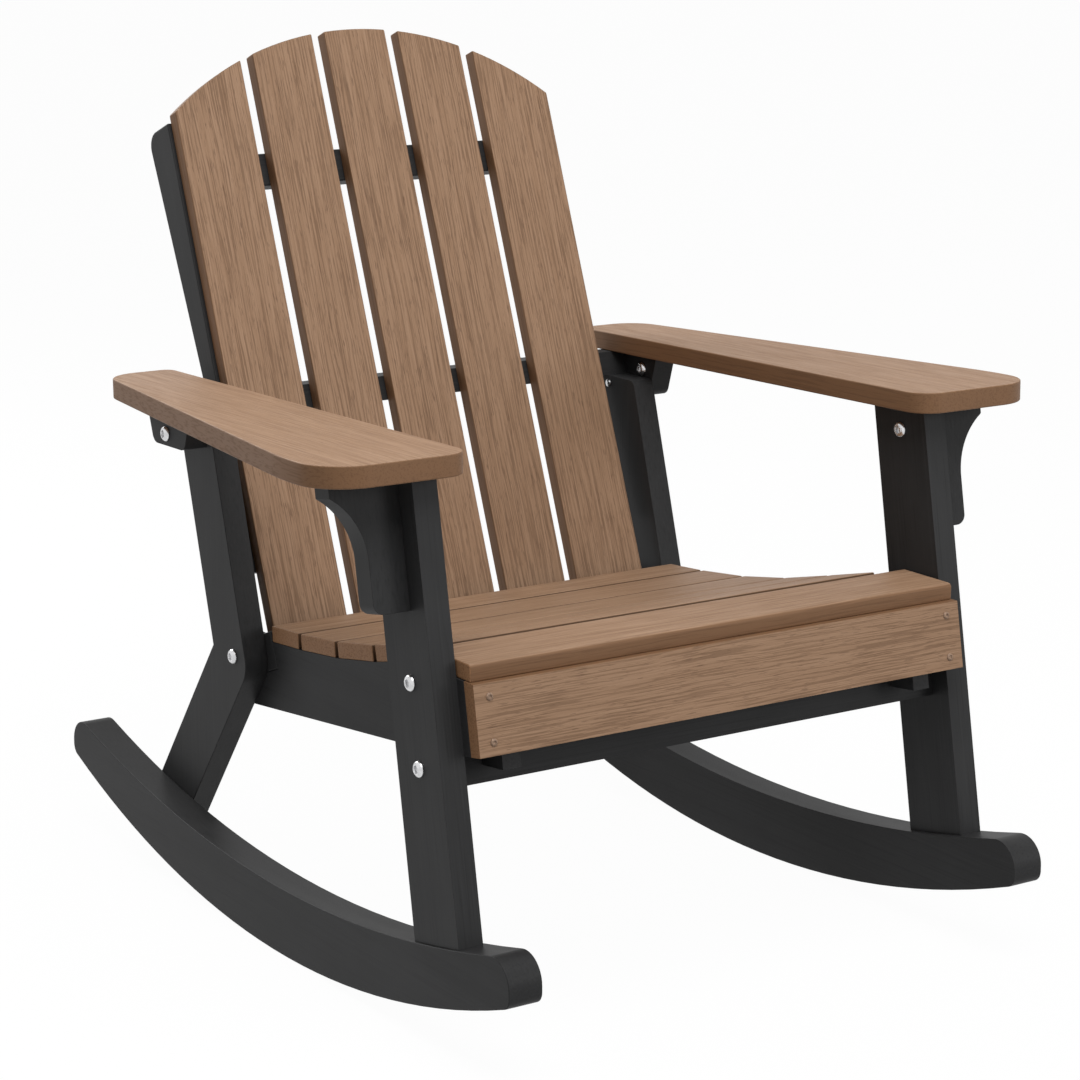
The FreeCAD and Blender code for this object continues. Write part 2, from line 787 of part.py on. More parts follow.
# Corbels under the arms, on the outer faces of the front legs
arm_slope = named("corbel_top_slope", tangent(lean - arm_tilt))
corbel_level = named("corbel_level", level_up(core, arm_under, arm_fall))
corbel_top = named("corbel_top", corbel_level + frame_thickness)
nose_up = named("corbel_nose_up", corbel_level - dim("corbel_nose"))
waist_up = named("corbel_waist_up", nose_up - dim("corbel_hollow"))
corbel_foot_up = named("corbel_foot_up", corbel_level - dim("corbel_height"))
corbel_nose_x = named("corbel_nose_x", leg_outer + dim("corbel_reach"))
waist_x = leg_outer + dim("corbel_foot")
inset = dim("corbel_reach") - dim("corbel_foot")
hollow = named(
    "corbel_hollow_radius",
    (inset * inset + dim("corbel_hollow") * dim("corbel_hollow")) / (inset * 2),
)
for name, side in SIDES:
    outline = [
        (leg_outer, corbel_foot_up),
        (waist_x, corbel_foot_up),
        (waist_x, waist_up),
        (corbel_nose_x, nose_up),
        (corbel_nose_x, corbel_top),
        (leg_outer, corbel_top),
    ]
    outline = [(x * side, up) for x, up in outline]
    arcs = {2: ((waist_x + hollow) * side, waist_up, hollow, side < 0)}
    corbel = leaning_board(
        "arm_corbel_" + name, outline, arcs, core, frame_thickness, [], corbel_level, arm_slope
    )
    feature = round_edges(
        corbel,
        corbel.Tip,
        [(outline[1][0], frame_thickness / 2, outline[1][1])],
        dim("corbel_round"),
    )
    end_bores(
        corbel,
        [(frame_thickness / 2, corbel_bolt_up)],
        leg_outer * side,
        bore,
        bite - frame_thickness + bore_gap,
        backwards=side > 0,
    )

# Front stretcher between the legs, slotted from above for the side rails
stretcher = cross_board(
    "front_stretcher",
    leg_inner * 2,
    [
        (lean_y(core, stretcher_z), stretcher_z),
        (lean_y(core_rear, stretcher_z), stretcher_z),
        (lean_y(core_rear, seat_under), seat_under),
        (lean_y(core, seat_under), seat_under),
    ],
)
slot = new_sketch(stretcher, "YZ_Plane", "front_stretcher_slot")
shift_sketch(slot, rail_outer + clearance)
slot_foot = lap_up - clearance
slot_head = named("stretcher_slot_head", level_up(core_rear, seat_under) + clearance)
closed_outline(
    slot,
    [
        lean_point(core - clearance, slot_foot),
        lean_point(core_rear + clearance, slot_foot),
        lean_point(core_rear + clearance, slot_head),
        lean_point(core - clearance, slot_head),
    ],
)
slot_cut = pocket(stretcher, slot, dim("rail_thickness") + clearance * 2)
slot_pair = mirror(stretcher, [slot_cut])
end_bores(
    stretcher,
    leg_bolt_points,
    leg_inner,
    bore,
    bite - frame_thickness + bore_gap,
    backwards=False,
    both_ends=True,
)

# Apron and the blocks that carry its ends
lean_slope = named("front_bevel_slope", tangent(lean))
apron_level = named("apron_level", level_up(apron_front, seat_under))
block_level = named("apron_block_level", level_up(apron_rear, seat_under))
apron_top = named("apron_top", block_level + core)
apron_foot = named("apron_foot_up", apron_level - dim("apron_height"))
screw_x = named("apron_screw_x", (rail_outer + leg_inner) / 2)
screw_low = named("apron_screw_low", apron_foot + dim("apron_screw_edge"))
screw_spacing = named("apron_screw_spacing", dim("apron_height") - dim("apron_screw_edge") * 2)
screw_ups = [screw_low, screw_low + screw_spacing]
half = dim("apron_half")
leaning_board(
    "front_apron",
    [
        (-half, apron_foot),
        (half, apron_foot),
        (half, apron_top),
        (-half, apron_top),
    ],
    {},
    apron_front,
    dim("apron_thickness"),
    [(screw_x * side, up, screw_bore) for _, side in SIDES for up in screw_ups],
    apron_level,
    lean_slope,
)
for name, side in SIDES:
    leaning_board(
        "apron_block_" + name,
        [
            (rail_outer * side, apron_foot),
            (leg_inner * side, apron_foot),
            (leg_inner * side, apron_top),
            (rail_outer * side, apron_top),
        ],
        {},
        apron_rear,
        core - apron_rear,
        [(screw_x * side, up, screw_bore) for up in screw_ups],
        block_level,
        lean_slope,
    )

# Seat boards
gap = dim("seat_slat_gap")
slat_thickness = dim("seat_slat_thickness")
front_edge = land_y - gap / 2 - dim("front_slat_width")
cross_board(
    "seat_front_slat",
    (leg_inner - dim("front_slat_inset")) * 2,
    [
        (front_edge, seat_under),
        (land_y - gap / 2, seat_under),
        (land_y - gap / 2, dim("seat_front_height")),
        (front_edge, dim("seat_front_height")),
    ],
    [(dim("front_slat_round"), [(front_edge, dim("seat_front_height"))])],
)
for number, (step, tilt) in enumerate(zip(steps, tilts)):
    y, z = seat_line[number]
    last = step - (clearance if number == 4 else gap / 2)
    slat = cross_board(
        "seat_slat_%d" % (5 - number),
        rail_outer * 2,
        [(gap / 2, size(0)), (last, size(0)), (last, slat_thickness), (gap / 2, slat_thickness)],
    )
    place(slat, 0, y, z, tilt)
cross_board(
    "seat_rear_bar",
    rail_outer * 2,
    [
        back_point(bar_foot, bar_front),
        back_point(bar_foot, size(0)),
        back_point(bar_top, size(0)),
        back_point(bar_top, bar_front),
    ],
)

# Back slats under one arch
arch = dim("back_arch_radius")
arch_centre = named("back_arch_centre", dim("back_height") - arch)
slat_foot = -dim("back_slat_drop")
middle_half = dim("back_slat_width") / 2
inner_start = named("back_inner_start", middle_half + dim("back_slat_gap"))
inner_end = inner_start + dim("back_slat_width")
outer_start = named("back_outer_start", inner_end + dim("back_slat_gap"))
outer_end = named("back_outer_end", rail_outer - dim("back_side_gap"))
columns = [
    (-outer_end, -outer_start),
    (-inner_end, -inner_start),
    (-middle_half, middle_half),
    (inner_start, inner_end),
    (outer_start, outer_end),
]
for number, (start, end) in enumerate(columns, start=1):
    body = new_body("back_slat_%d" % number)
    sketch = new_sketch(body, "XZ_Plane", body.Label + "_outline")
    outline = [
        (start, slat_foot),
        (end, slat_foot),
        (end, arch_centre + root(arch * arch - end * end)),
        (start, arch_centre + root(arch * arch - start * start)),
    ]
    closed_outline(sketch, outline, {2: (size(0), arch_centre, arch, True)})
    pad(body, sketch, slat_depth, backwards=True)
    place(body, 0, base_y, base_z, rake)

# Boards behind the back slats
cross_rail = cross_board(
    "lower_back_rail",
    rocker_inner * 2,
    [
        (back_y(leg_top, slat_depth), leg_top),
        (back_y(leg_top, cross_rear), leg_top),
        back_under_arm(cross_rear),
        back_under_arm(slat_depth),
    ],
)
end_bores(
    cross_rail,
    [bracket_bolt],
    rocker_inner,
    bore,
    bite - frame_thickness + bore_gap,
    backwards=False,
    both_ends=True,
)
batten_head = dim("batten_level") + dim("batten_height")
batten_rear = slat_depth + dim("batten_thickness")
cross_board(
    "upper_back_batten",
    stile_inner * 2,
    [
        back_point(dim("batten_level"), slat_depth),
        back_point(dim("batten_level"), batten_rear),
        back_point(batten_head, batten_rear),
        back_point(batten_head, slat_depth),
    ],
)

# Arms
arm_inner = named("arm_inner_x", leg_inner - dim("arm_inner_reach"))
arm_nose = named("arm_front_outer_x", arm_inner + dim("arm_front_width"))
arm_length = named(
    "arm_length", (bracket_rear + dim("arm_rear_overhang") - arm_front) / cosine(arm_tilt)
)
arm_bend = dim("arm_straight")
arm_taper = dim("arm_taper")
arm_radius = dim("arm_side_radius")
arm_hip = named("arm_hip_x", arm_nose - arm_radius + arm_radius * cosine(arm_taper))
arm_hip_up = named("arm_hip_up", arm_bend + arm_radius * sine(arm_taper))
arm_waist = named("arm_rear_outer_x", arm_hip - (arm_length - arm_hip_up) * tangent(arm_taper))
for name, side in SIDES:
    outline = [
        (arm_inner, size(0)),
        (arm_nose, size(0)),
        (arm_nose, arm_bend),
        (arm_hip, arm_hip_up),
        (arm_waist, arm_length),
        (arm_inner, arm_length),
    ]
    outline = [(x * side, y) for x, y in outline]
    centre = (arm_nose - arm_radius) * side
    arm = new_body("arm_" + name)
    sketch = new_sketch(arm, "XY_Plane", arm.Label + "_outline")
    closed_outline(sketch, outline, {2: (centre, arm_bend, arm_radius, side > 0)})
    feature = pad(arm, sketch, dim("arm_thickness"))
    middle = dim("arm_thickness") / 2
    for radius_name, corner in (
        ("arm_front_outer_round", 1),
        ("arm_front_inner_round", 0),
        ("arm_rear_outer_round", 4),
        ("arm_rear_inner_round", 5),
    ):
        spot = (outline[corner][0], outline[corner][1], middle)
        feature = round_edges(arm, feature, [spot], dim(radius_name))
    place(arm, 0, arm_front, arm_under, arm_tilt)


def fastener(label, seat_x, outwards, length, kind, spot, count=1, spacing=None, slant=None,
             forwards=False):
    """Round-headed fasteners along X, alike on both sides of the chair."""
    head = dim(kind + "_head_radius")
    rise = dim(kind + "_head_height")
    shank = dim(kind + "_shank_radius")
    profile = [
        (-length, size(0)),
        (-length, shank),
        (size(0), shank),
        (size(0), head),
        (rise, head * 0.8),
        (rise, size(0)),
    ]
    body = new_body(label)
    body.AllowCompound = True
    sketch = new_sketch(body, "XZ_Plane", label + "_profile")
    closed_outline(sketch, [(seat_x + along * outwards, r) for along, r in profile])
    turned = body.newObject("PartDesign::Revolution", label + "_turned")
    turned.Profile = sketch
    turned.ReferenceAxis = (sketch, ["H_Axis"])
    turned.Angle = 360.0
    doc.recompute()
    repeat(body, turned, count, spacing)
    place(body, 0, spot[0], spot[1], slant, forwards)
    return body


def repeat(body, feature, count, spacing):
    """Repeats a fastener up the body and then on the other side of the chair."""
    if count == 1:
        mirror(body, [feature])
        return
    many = body.newObject("PartDesign::MultiTransform", body.Label + "_all")
    many.Originals = [feature]
    row = body.newObject("PartDesign::LinearPattern", body.Label + "_row")
    row.Direction = (origin_plane(body, "Z_Axis"), [""])
    row.Length = spacing.value
    row.setExpression("Length", spacing.text)
    row.Occurrences = count
    pair = body.newObject("PartDesign::Mirrored", body.Label + "_pair")
    pair.MirrorPlane = (origin_plane(body, "YZ_Plane"), [""])
    many.Transformations = [row, pair]
    body.Tip = many
    doc.recompute()


# Fasteners
fastener(
    "leg_stretcher_bolts", leg_outer, 1, bite, "bolt", leg_bolt_points[0],
    2, dim("leg_bolt_spacing"), lean,
)
fastener("corbel_bolts", leg_inner, -1, bite, "bolt", corbel_bolt)
rail_bolt_length = frame_thickness + dim("rail_thickness") - dim("rear_bolt_setback")
fastener("rear_leg_rail_bolts", rocker_inner, 1, rail_bolt_length, "bolt", rail_bolt)
fastener(
    "rocker_bolts", rail_outer, -1, dim("rocker_bolt_bite"), "bolt", rocker_bolt_points[0],
    2, dim("rocker_bolt_spacing"), lower, True,
)
fastener("bracket_bolts", rocker_inner + frame_thickness, 1, bite, "bolt", bracket_bolt)
fastener(
    "bracket_screws", rocker_inner + frame_thickness, 1,
    frame_thickness * 2 + dim("screw_head_height"), "bolt", bracket_screw,
)

screws = new_body("apron_screws")
screws.AllowCompound = True
sketch = new_sketch(screws, "YZ_Plane", "apron_screws_profile")
shift_sketch(sketch, screw_x)
head = dim("screw_head_radius")
rise = dim("screw_head_height")
shank = dim("screw_shank_radius")
closed_outline(
    sketch,
    [
        (dim("screw_bite") + dim("apron_thickness") / 2, size(0)),
        (dim("screw_bite") + dim("apron_thickness") / 2, shank),
        (size(0), shank),
        (size(0), head),
        (-rise, head * 0.8),
        (-rise, size(0)),
    ],
)
turned = screws.newObject("PartDesign::Revolution", "apron_screws_turned")
turned.Profile = sketch
turned.ReferenceAxis = (sketch, ["H_Axis"])
turned.Angle = 360.0
doc.recompute()
repeat(screws, turned, 2, screw_spacing)
place(screws, 0, *lean_point(apron_front, screw_low), lean)

doc.recompute()
faults = []
for item in doc.Objects:
    if "Invalid" in item.State or "Error" in item.State:
        faults.append("%s: %s" % (item.Label, item.State))
for piece in pieces:
    shape = piece.Shape
    if shape.isNull() or not shape.isValid() or shape.Volume <= 0:
        faults.append("%s: bad shape" % piece.Label)
if faults:
    raise RuntimeError("; ".join(faults))
for piece in pieces:
    piece.Shape.exportStep("parts/%s.step" % piece.Label)
    box = piece.Shape.BoundBox
    print(
        "%s: %d solid(s), x %.1f to %.1f, y %.1f to %.1f, z %.1f to %.1f"
        % (piece.Label, len(piece.Shape.Solids), box.XMin, box.XMax, box.YMin, box.YMax, box.ZMin, box.ZMax)
    )
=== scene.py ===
import math

import bmesh
import bpy
from bpy.props import FloatProperty, FloatVectorProperty, PointerProperty
from mathutils import Matrix, Vector


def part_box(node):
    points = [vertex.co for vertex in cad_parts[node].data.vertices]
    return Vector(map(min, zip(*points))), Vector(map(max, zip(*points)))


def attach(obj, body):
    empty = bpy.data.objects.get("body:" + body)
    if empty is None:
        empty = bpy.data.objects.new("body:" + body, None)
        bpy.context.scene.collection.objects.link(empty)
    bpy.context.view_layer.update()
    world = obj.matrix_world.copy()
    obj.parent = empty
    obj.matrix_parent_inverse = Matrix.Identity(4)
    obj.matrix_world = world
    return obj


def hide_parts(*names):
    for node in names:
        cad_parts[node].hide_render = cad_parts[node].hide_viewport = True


bl_info = {
    "name": "Slatted rocking armchair",
    "version": (1, 0, 0),
    "blender": (4, 5, 0),
    "location": "View3D > Sidebar > Rocking chair",
    "description": "Finishes the boards, bolts and setting of a slatted rocking armchair",
    "category": "Object",
}

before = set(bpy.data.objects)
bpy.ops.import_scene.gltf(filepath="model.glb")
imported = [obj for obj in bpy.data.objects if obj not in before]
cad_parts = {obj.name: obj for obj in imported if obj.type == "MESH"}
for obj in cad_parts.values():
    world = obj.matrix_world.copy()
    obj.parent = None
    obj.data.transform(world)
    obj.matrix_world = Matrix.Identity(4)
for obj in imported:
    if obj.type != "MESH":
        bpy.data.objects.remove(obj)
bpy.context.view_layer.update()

SEAT_BOARDS = ["seat_front_slat"] + ["seat_slat_%d" % n for n in range(1, 6)]
BACK_BOARDS = ["back_slat_%d" % n for n in range(1, 6)]
ARMS = ["arm_left", "arm_right"]

# The sitter faces -Y. The apron and the front legs lean back less than the back does.
ACROSS = (1.0, 0.0, 0.0)
REARWARDS = (0.0, 1.0, 0.0)
UP = (0.0, 0.0, 1.0)
FRONT_LEAN = math.radians(10.2)
BACK_LEAN = math.radians(20.7)
ARM_ALONG = (0.0, 0.99982, -0.0192)
ARM_FACE = (0.0, 0.0192, 0.99982)

# What each bolt or screw node is modelled as, its finish, and where its head faces on the
# right side of the chair.
OUT = (1.0, 0.0, 0.0)
IN = (-1.0, 0.0, 0.0)
FORWARDS = (0.0, -1.0, 0.0)
FASTENERS = {
    "leg_stretcher_bolts": ("leg_stretcher_button_bolts", "steel", OUT),
    "corbel_bolts": ("corbel_button_bolts", "steel", IN),
    "rear_leg_rail_bolts": ("rear_leg_button_bolts", "steel", OUT),
    "rocker_bolts": ("rocker_button_bolts", "steel", IN),
    "bracket_bolts": ("bracket_rail_bolts", "steel", OUT),
    "bracket_screws": ("bracket_leg_bolts", "steel", OUT),
    "apron_screws": ("apron_coated_screws", "coated_screw", FORWARDS),
}

# Edges that turn by less than this are shaded smooth and get no round.
SMOOTH_ANGLE = math.radians(28.0)


class BrownBoardSettings(bpy.types.PropertyGroup):
    """Colours and grain of the brown boards."""

    colour: FloatVectorProperty(
        name="Board colour",
        description="Main colour of the brown plastic lumber",
        subtype="COLOR",
        size=3,
        min=0.0,
        max=1.0,
        default=(0.275, 0.163, 0.095),
    )
    streak: FloatVectorProperty(
        name="Streak colour",
        description="Colour of the darker fibres",
        subtype="COLOR",
        size=3,
        min=0.0,
        max=1.0,
        default=(0.1, 0.052, 0.028),
    )
    light: FloatVectorProperty(
        name="Pale colour",
        description="Colour of the paler fibres",
        subtype="COLOR",
        size=3,
        min=0.0,
        max=1.0,
        default=(0.41, 0.265, 0.172),
    )
    cut: FloatVectorProperty(
        name="Cut edge colour",
        description="Colour of the plain sawn edges and ends",
        subtype="COLOR",
        size=3,
        min=0.0,
        max=1.0,
        default=(0.185, 0.096, 0.047),
    )
    fibre: FloatProperty(
        name="Fibre width",
        description="Width of one fibre of the embossed grain",
        subtype="DISTANCE",
        unit="LENGTH",
        min=0.0002,
        max=0.01,
        default=0.0007,
    )
    edge: FloatProperty(
        name="Edge round",
        description="Radius of the eased board edges",
        subtype="DISTANCE",
        unit="LENGTH",
        min=0.0001,
        max=0.006,
        default=0.0014,
    )


class DarkBoardSettings(bpy.types.PropertyGroup):
    """Colour and edges of the charcoal frame boards."""

    colour: FloatVectorProperty(
        name="Frame colour",
        description="Colour of the charcoal plastic lumber",
        subtype="COLOR",
        size=3,
        min=0.0,
        max=1.0,
        default=(0.024, 0.024, 0.0245),
    )
    edge: FloatProperty(
        name="Edge round",
        description="Largest radius of the eased frame edges, held smaller beside bolt holes",
        subtype="DISTANCE",
        unit="LENGTH",
        min=0.0001,
        max=0.006,
        default=0.0015,
    )


class FastenerSettings(bpy.types.PropertyGroup):
    """Heads and colours of the bolts and screws."""

    socket: FloatProperty(
        name="Socket share",
        description="Radius of the six-sided socket as a share of the head's radius",
        subtype="FACTOR",
        min=0.2,
        max=0.55,
        default=0.5,
    )
    steel: FloatVectorProperty(
        name="Steel colour",
        description="Colour of the bare bolts",
        subtype="COLOR",
        size=3,
        min=0.0,
        max=1.0,
        default=(0.72, 0.72, 0.73),
    )
    coat: FloatVectorProperty(
        name="Coat colour",
        description="Colour of the coated screws",
        subtype="COLOR",
        size=3,
        min=0.0,
        max=1.0,
        default=(0.19, 0.12, 0.078),
    )


class StageSettings(bpy.types.PropertyGroup):
    """Camera and lamps."""

    eye: FloatVectorProperty(
        name="Camera place",
        description="Where the camera stands",
        subtype="XYZ",
        unit="LENGTH",
        size=3,
        default=(-1.580, -2.441, 1.033),
    )
    turn: FloatProperty(
        name="Camera turn",
        description="Turn of the camera from straight ahead, to the right",
        subtype="ANGLE",
        unit="ROTATION",
        default=math.radians(33.183),
    )
    dip: FloatProperty(
        name="Camera dip",
        description="How far the camera looks down",
        subtype="ANGLE",
        unit="ROTATION",
        default=math.radians(12.939),
    )
    lens: FloatProperty(
        name="Focal length",
        description="Focal length in millimetres on a 36 mm wide sensor",
        min=20.0,
        max=300.0,
        default=100.0,
    )
    key_power: FloatProperty(
        name="Key lamp",
        description="Power of the large soft lamp overhead",
        subtype="POWER",
        unit="POWER",
        min=0.0,
        default=76.0,
    )
    fill_power: FloatProperty(
        name="Fill lamp",
        description="Power of the soft lamp in front",
        subtype="POWER",
        unit="POWER",
        min=0.0,
        default=20.0,
    )
    rim_power: FloatProperty(
        name="Rim lamp",
        description="Power of the lamp behind, which draws the upper edges",
        subtype="POWER",
        unit="POWER",
        min=0.0,
        default=48.0,
    )


class Socket:
    """An output of a shader node that takes part in ordinary sums."""

    def __init__(self, shop, socket):
        self.shop = shop
        self.socket = socket

    def _math(self, operation, *values):
        return self.shop.node("ShaderNodeMath", {"operation": operation}, *values)

    def __add__(self, other):
        return self._math("ADD", self, other)

    __radd__ = __add__

    def __sub__(self, other):
        return self._math("SUBTRACT", self, other)

    def __rsub__(self, other):
        return self._math("SUBTRACT", other, self)

    def __mul__(self, other):
        return self._math("MULTIPLY", self, other)

    __rmul__ = __mul__

    def __abs__(self):
        return self._math("ABSOLUTE", self)

    def band(self, low, high):
        """0 below low, 1 above high, smooth between."""
        return self.shop.node(
            "ShaderNodeMapRange", {"interpolation_type": "SMOOTHSTEP"}, self, low, high
        )


class Shop:
    """Makes the nodes of one material or of the world."""

    def __init__(self, owner, ending="ShaderNodeOutputMaterial"):
        self.owner = owner
        self.ending = ending
        owner.use_nodes = True
        self.tree = owner.node_tree
        self.tree.nodes.clear()

    def node(self, kind, settings=None, *inputs, out=None, **named):
        """One node, its settings made first, as the output that others read.

        Inputs go in order to the sockets that the node then shows, or by name with _ for a
        space. Without out, which names an output, the first one shown is read.
        """
        made = self.tree.nodes.new(kind)
        for key, value in (settings or {}).items():
            setattr(made, key, value)
        shown = [socket for socket in made.inputs if socket.enabled]
        by_name = [(made.inputs[key.replace("_", " ")], value) for key, value in named.items()]
        for target, value in list(zip(shown, inputs)) + by_name:
            if isinstance(value, Socket):
                self.tree.links.new(value.socket, target)
            else:
                target.default_value = value
        first = next((socket for socket in made.outputs if socket.enabled), None)
        return Socket(self, made.outputs[out] if out else first)

    def blend_colour(self, share, low, high):
        """From the low to the high colour by a share, each colour a socket or three numbers."""
        ends = [end if isinstance(end, Socket) else (*end, 1.0) for end in (low, high)]
        return self.node("ShaderNodeMix", {"data_type": "RGBA"}, share, *ends)

    def noise(self, place, scale, detail, rough):
        return self.node(
            "ShaderNodeTexNoise",
            {"noise_dimensions": "3D"},
            Vector=place,
            Scale=scale,
            Detail=detail,
            Roughness=rough,
        )

    def facing(self, direction):
        """1 on faces that point along a direction or against it, 0 on those beside it."""
        normal = self.node("ShaderNodeTexCoord", out="Normal")
        return abs(
            self.node("ShaderNodeVectorMath", {"operation": "DOT_PRODUCT"}, normal, direction)
        )

    def seen_by(self, first, *others):
        """1 for the named kinds of ray, 0 for all others."""
        seen = self.node("ShaderNodeLightPath", out=first)
        for ray in others:
            found = self.node("ShaderNodeLightPath", out=ray)
            seen = self.node("ShaderNodeMath", {"operation": "MAXIMUM"}, seen, found)
        return seen

    def show(self, surface):
        """Ends the tree with what the material or the world shows."""
        self.node(self.ending, None, surface)

    def finish(self, colour, roughness, metallic, height, strength, depth, gloss=0.5):
        """Ends a material. strength and depth are its bump's, gloss its reflection's."""
        normal = self.node("ShaderNodeBump", Strength=strength, Distance=depth, Height=height)
        shader = self.node(
            "ShaderNodeBsdfPrincipled",
            Base_Color=colour,
            Roughness=roughness,
            Metallic=metallic,
            Specular_IOR_Level=gloss,
            Normal=normal,
        )
        self.show(shader)
        return self.owner


def up_along(lean):
    """Up along a board that leans back by an angle."""
    return (0.0, math.sin(lean), math.cos(lean))


def out_of(lean):
    """Straight out of the front of a board that leans back by an angle."""
    return (0.0, -math.cos(lean), math.sin(lean))


def turned(along, face):
    """The turn that lays X along a board and Z out of its broad face."""
    along = Vector(along).normalized()
    across = Vector(face).cross(along).normalized()
    out = along.cross(across)
    return tuple(Matrix((along, across, out)).transposed().to_euler())


def shaded(colour, share):
    """A colour made darker by a share below 1, or lighter by one above."""
    return tuple(c * share for c in colour)


def board_place(shop, centre, turn):
    """The point on a board with X along its fibres, from the board's middle."""
    return shop.node(
        "ShaderNodeMapping",
        {"vector_type": "TEXTURE"},
        Vector=shop.node("ShaderNodeTexCoord", out="Object"),
        Location=tuple(centre),
        Rotation=turn,
    )


# How far a seed moves the grain along the board, across it and through it.
SEED_MOVES = (1.0, 1.7, 0.6)


def grain(shop, place, unit, seed, along, across, share, detail, rough):
    """Noise drawn out along a board, its cells counted along and across one unit of length.

    share is how much of the board's seed moves this layer.
    """
    shift = seed * share
    cells = shop.node(
        "ShaderNodeMapping",
        Vector=place,
        Location=tuple(shift * move for move in SEED_MOVES),
        Scale=(along / unit, across / unit, across / unit),
    )
    return shop.noise(cells, 1.0, detail, rough)


# The layers of the brown grain. Their cells are counted over one fibre's width, and the
# cells of the slow wander that bends them over one metre.
FIBRES = {"along": 0.008, "across": 0.42, "share": 3.1, "detail": 2.0, "rough": 0.6}
BROAD = {"along": 0.002, "across": 0.085, "share": 1.3, "detail": 2.0, "rough": 0.5}
PORES = {"along": 0.05, "across": 0.7, "share": 5.7, "detail": 1.0, "rough": 0.5}
PATCHES = {"along": 0.006, "across": 0.03, "share": 2.3, "detail": 1.0, "rough": 0.5}
WANDER = {"along": 6.0, "across": 22.0, "share": 1.0, "detail": 2.0, "rough": 0.5}
WANDER_REACH = 0.006

# Between which values the embossing, the ends and each mark of the grain come in.
EMBOSSED_FACE = (0.62, 0.86)
BOARD_END = (0.4, 0.8)
DARK_FIBRE = (0.42, 0.49)
PALE_FIBRE = (0.55, 0.64)
RIDGE = (0.34, 0.62)
CLUSTER = (0.36, 0.6)
PORE = (0.63, 0.7)
BROAD_TONE = (0.3, 0.7)

# How much of its colour each mark of the brown grain brings.
BROAD_SHARE = 0.22
PALE_SHARE = 0.36
DARK_SHARE = 0.3
CLUSTER_SHARE = 0.14
PORE_SHARE = 0.5
SAWN_LINE_SHARE = 0.34

# The brown grain's relief: how high each mark stands, and what is left of it where sawn.
RIDGE_HEIGHT = 0.8
BROAD_HEIGHT = 0.35
PORE_DEPTH = 0.3
SAWN_RELIEF = 0.25


def grain_material(
    name, settings, along, face, centre, seed, lines=1.0, pale=1.0, soft=0.0, sides=1.0, ends=1.0
):
    """Brown lumber: embossed fibres on the broad faces, plainer sawn sides and ends.

    lines and pale are how strong the dark and the pale fibres are, soft is how much wider
    the dark ones' borders are, and sides and ends scale the cut colour there. A sides share
    below 1 is painted shade for sawn sides that sit in the shadowed gaps between boards.
    """
    shop = Shop(bpy.data.materials.new(name))
    place = board_place(shop, centre, turned(along, face))
    sway = (grain(shop, place, 1.0, seed, **WANDER) - 0.5) * WANDER_REACH
    bent = shop.node(
        "ShaderNodeVectorMath",
        {"operation": "ADD"},
        place,
        shop.node("ShaderNodeCombineXYZ", X=0.0, Y=sway, Z=sway),
    )
    fibres = grain(shop, bent, settings.fibre, seed, **FIBRES)
    broad = grain(shop, bent, settings.fibre, seed, **BROAD)
    pores = grain(shop, bent, settings.fibre, seed, **PORES)
    patches = grain(shop, bent, settings.fibre, seed, **PATCHES)

    embossed = shop.facing(face).band(*EMBOSSED_FACE)
    board_end = shop.facing(along).band(*BOARD_END)
    border, full = DARK_FIBRE
    dark_lines = 1.0 - fibres.band(border - soft, full)
    pale_lines = fibres.band(*PALE_FIBRE)
    clusters = patches.band(*CLUSTER)
    marks = pores.band(*PORE)

    tone = broad.band(*BROAD_TONE) * (BROAD_SHARE * pale)
    colour = shop.blend_colour(tone, settings.colour, settings.light)
    colour = shop.blend_colour(pale_lines * (PALE_SHARE * pale), colour, settings.light)
    dark = dark_lines * (clusters * CLUSTER_SHARE + DARK_SHARE) * lines
    colour = shop.blend_colour(dark, colour, settings.streak)
    colour = shop.blend_colour(marks * (PORE_SHARE * lines), colour, settings.streak)
    sawn = shop.blend_colour(board_end, shaded(settings.cut, sides), shaded(settings.cut, ends))
    sawn = shop.blend_colour(dark_lines * SAWN_LINE_SHARE, sawn, settings.streak)
    colour = shop.blend_colour(embossed, sawn, colour)

    relief = fibres.band(*RIDGE) * RIDGE_HEIGHT + broad * BROAD_HEIGHT - marks * PORE_DEPTH
    height = relief * (embossed * (1.0 - SAWN_RELIEF) + SAWN_RELIEF)
    roughness = 0.5 + dark_lines * 0.1 + patches * 0.08
    return shop.finish(
        colour, roughness, metallic=0.0, height=height, strength=0.3, depth=0.0006, gloss=0.24
    )


# The layers of the charcoal lumber, their cells and specks counted over one metre.
DRAWN_LINES = {"along": 9.0, "across": 420.0, "share": 1.0, "detail": 2.0, "rough": 0.55}
DULL_BANDS = {"along": 2.0, "across": 60.0, "share": 1.9, "detail": 2.0, "rough": 0.5}
CLOUDS = {"along": 10.0, "across": 14.0, "share": 0.7, "detail": 2.0, "rough": 0.5}
SPECKS = 1100.0


